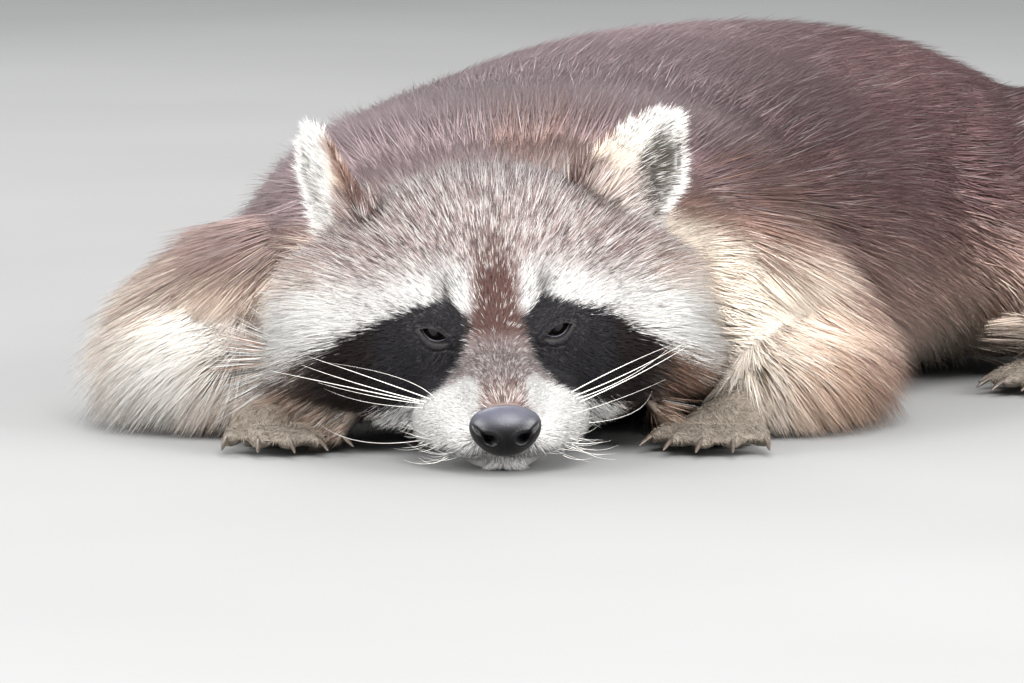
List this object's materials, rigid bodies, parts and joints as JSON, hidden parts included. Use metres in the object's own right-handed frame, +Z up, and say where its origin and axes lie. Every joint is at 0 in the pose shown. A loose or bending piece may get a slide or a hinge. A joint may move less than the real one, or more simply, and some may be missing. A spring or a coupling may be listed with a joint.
{
  "type": "raccoon",
  "caption": "Life-size raccoon lying flat on its belly with its chin on the ground, masked face forward, ears up and ringed tail curled behind.",
  "frame": {"origin": "on the ground under the middle of the animal's bounding box", "axes": "+Z up; the face looks along -Y; the animal's left is +X; the trunk runs back towards +Y and +X"},
  "size_m": [0.454, 0.7474, 0.1504],
  "materials": {
    "coat_head": "salt-and-pepper guard hair over pale underfur, black mask and white brows",
    "coat_back": "long grizzled grey-brown guard hair over paler underfur",
    "coat_pale": "soft cream and white hair with brown tips",
    "coat_tail": "bushy grey-tan hair with dark rings and a dark tip",
    "coat_paw": "short flat grey-brown hair",
    "nose_leather": "moist pebbled black skin",
    "eye": "wet dark brown eyeball",
    "claw": "worn dark horn"
  },
  "bodies": {
    "root": {"head": "coat_head", "neck": "coat_head", "lower_jaw": "coat_pale", "nose": "nose_leather", "eye_left": "eye", "eye_right": "eye", "ear_left": "coat_pale", "ear_right": "coat_pale", "chest": "coat_back", "abdomen": "coat_back", "tail_root": "coat_tail", "tail_middle": "coat_tail", "tail_tip": "coat_tail", "upper_fore_leftleg": "coat_pale", "lower_fore_leftleg": "coat_pale", "fore_left_paw": "coat_paw", "upper_hind_leftleg": "coat_back", "lower_hind_leftleg": "coat_back", "hind_left_paw": "coat_paw", "fore_left_paw_claw_1": "claw", "fore_left_paw_claw_2": "claw", "fore_left_paw_claw_3": "claw", "fore_left_paw_claw_4": "claw", "fore_left_paw_claw_5": "claw", "hind_left_paw_claw_1": "claw", "hind_left_paw_claw_2": "claw", "hind_left_paw_claw_3": "claw", "hind_left_paw_claw_4": "claw", "hind_left_paw_claw_5": "claw", "upper_fore_rightleg": "coat_pale", "lower_fore_rightleg": "coat_pale", "fore_right_paw": "coat_paw", "upper_hind_rightleg": "coat_back", "lower_hind_rightleg": "coat_back", "hind_right_paw": "coat_paw", "fore_right_paw_claw_1": "claw", "fore_right_paw_claw_2": "claw", "fore_right_paw_claw_3": "claw", "fore_right_paw_claw_4": "claw", "fore_right_paw_claw_5": "claw", "hind_right_paw_claw_1": "claw", "hind_right_paw_claw_2": "claw", "hind_right_paw_claw_3": "claw", "hind_right_paw_claw_4": "claw", "hind_right_paw_claw_5": "claw"}
  },
  "joints": []
}
